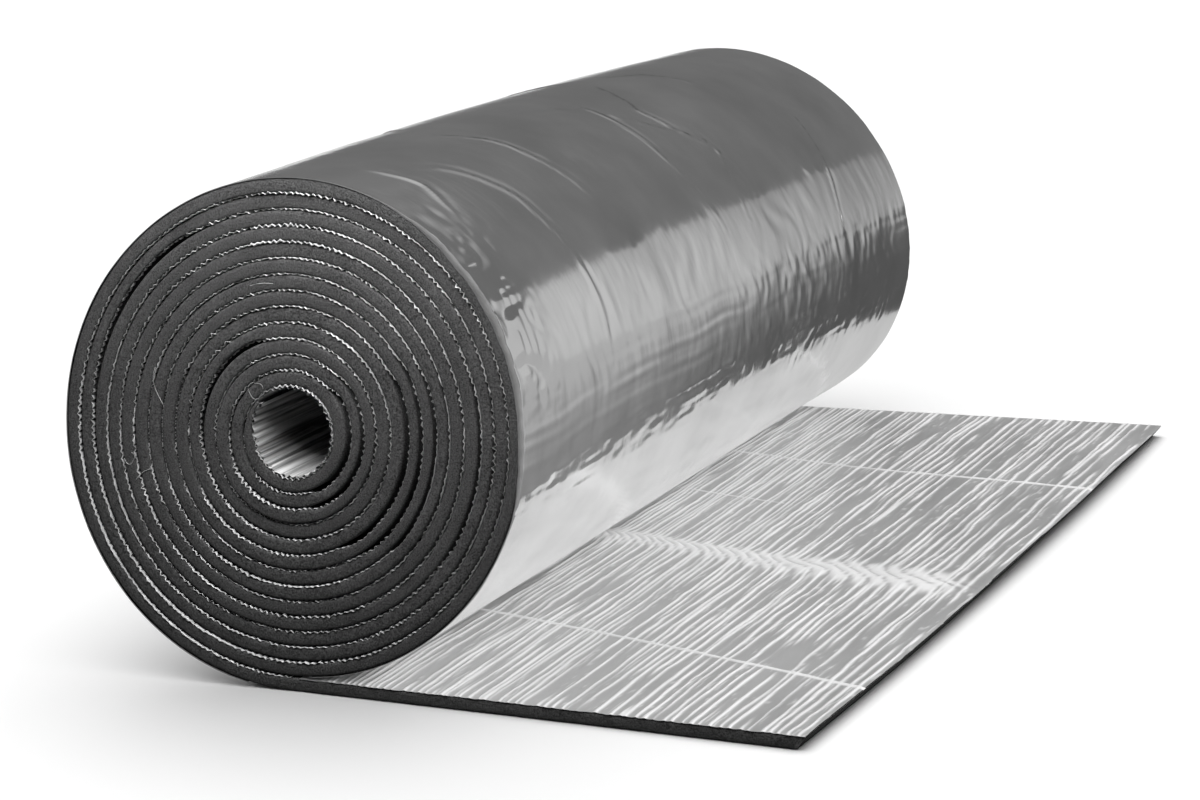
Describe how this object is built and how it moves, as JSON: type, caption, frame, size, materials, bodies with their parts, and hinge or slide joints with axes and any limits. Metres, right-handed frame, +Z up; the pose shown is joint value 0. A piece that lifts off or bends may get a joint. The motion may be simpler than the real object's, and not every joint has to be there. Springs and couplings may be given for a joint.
{
  "type": "insulation roll",
  "caption": "Roll of foil-faced black foam insulation lying on its side, with spiral turns on its ends, an open bore and its loose end laid out flat.",
  "frame": {"origin": "on the floor, below the middle of the roll and its loose end together", "axes": "+Y along the roll, away from the end that the picture shows; +X along the loose end, away from the roll; +Z up"},
  "size_m": [0.6825, 1.0236, 0.4128],
  "materials": {
    "foam": "matt closed-cell foam, dark grey where it is cut",
    "foil": "creased satin foil",
    "film": "smooth glossy metallised film, lightly wrinkled"
  },
  "bodies": {
    "root": {"foam_sheet": "foam", "foil_facing": "foil", "outer_film": "film"}
  },
  "joints": []
}
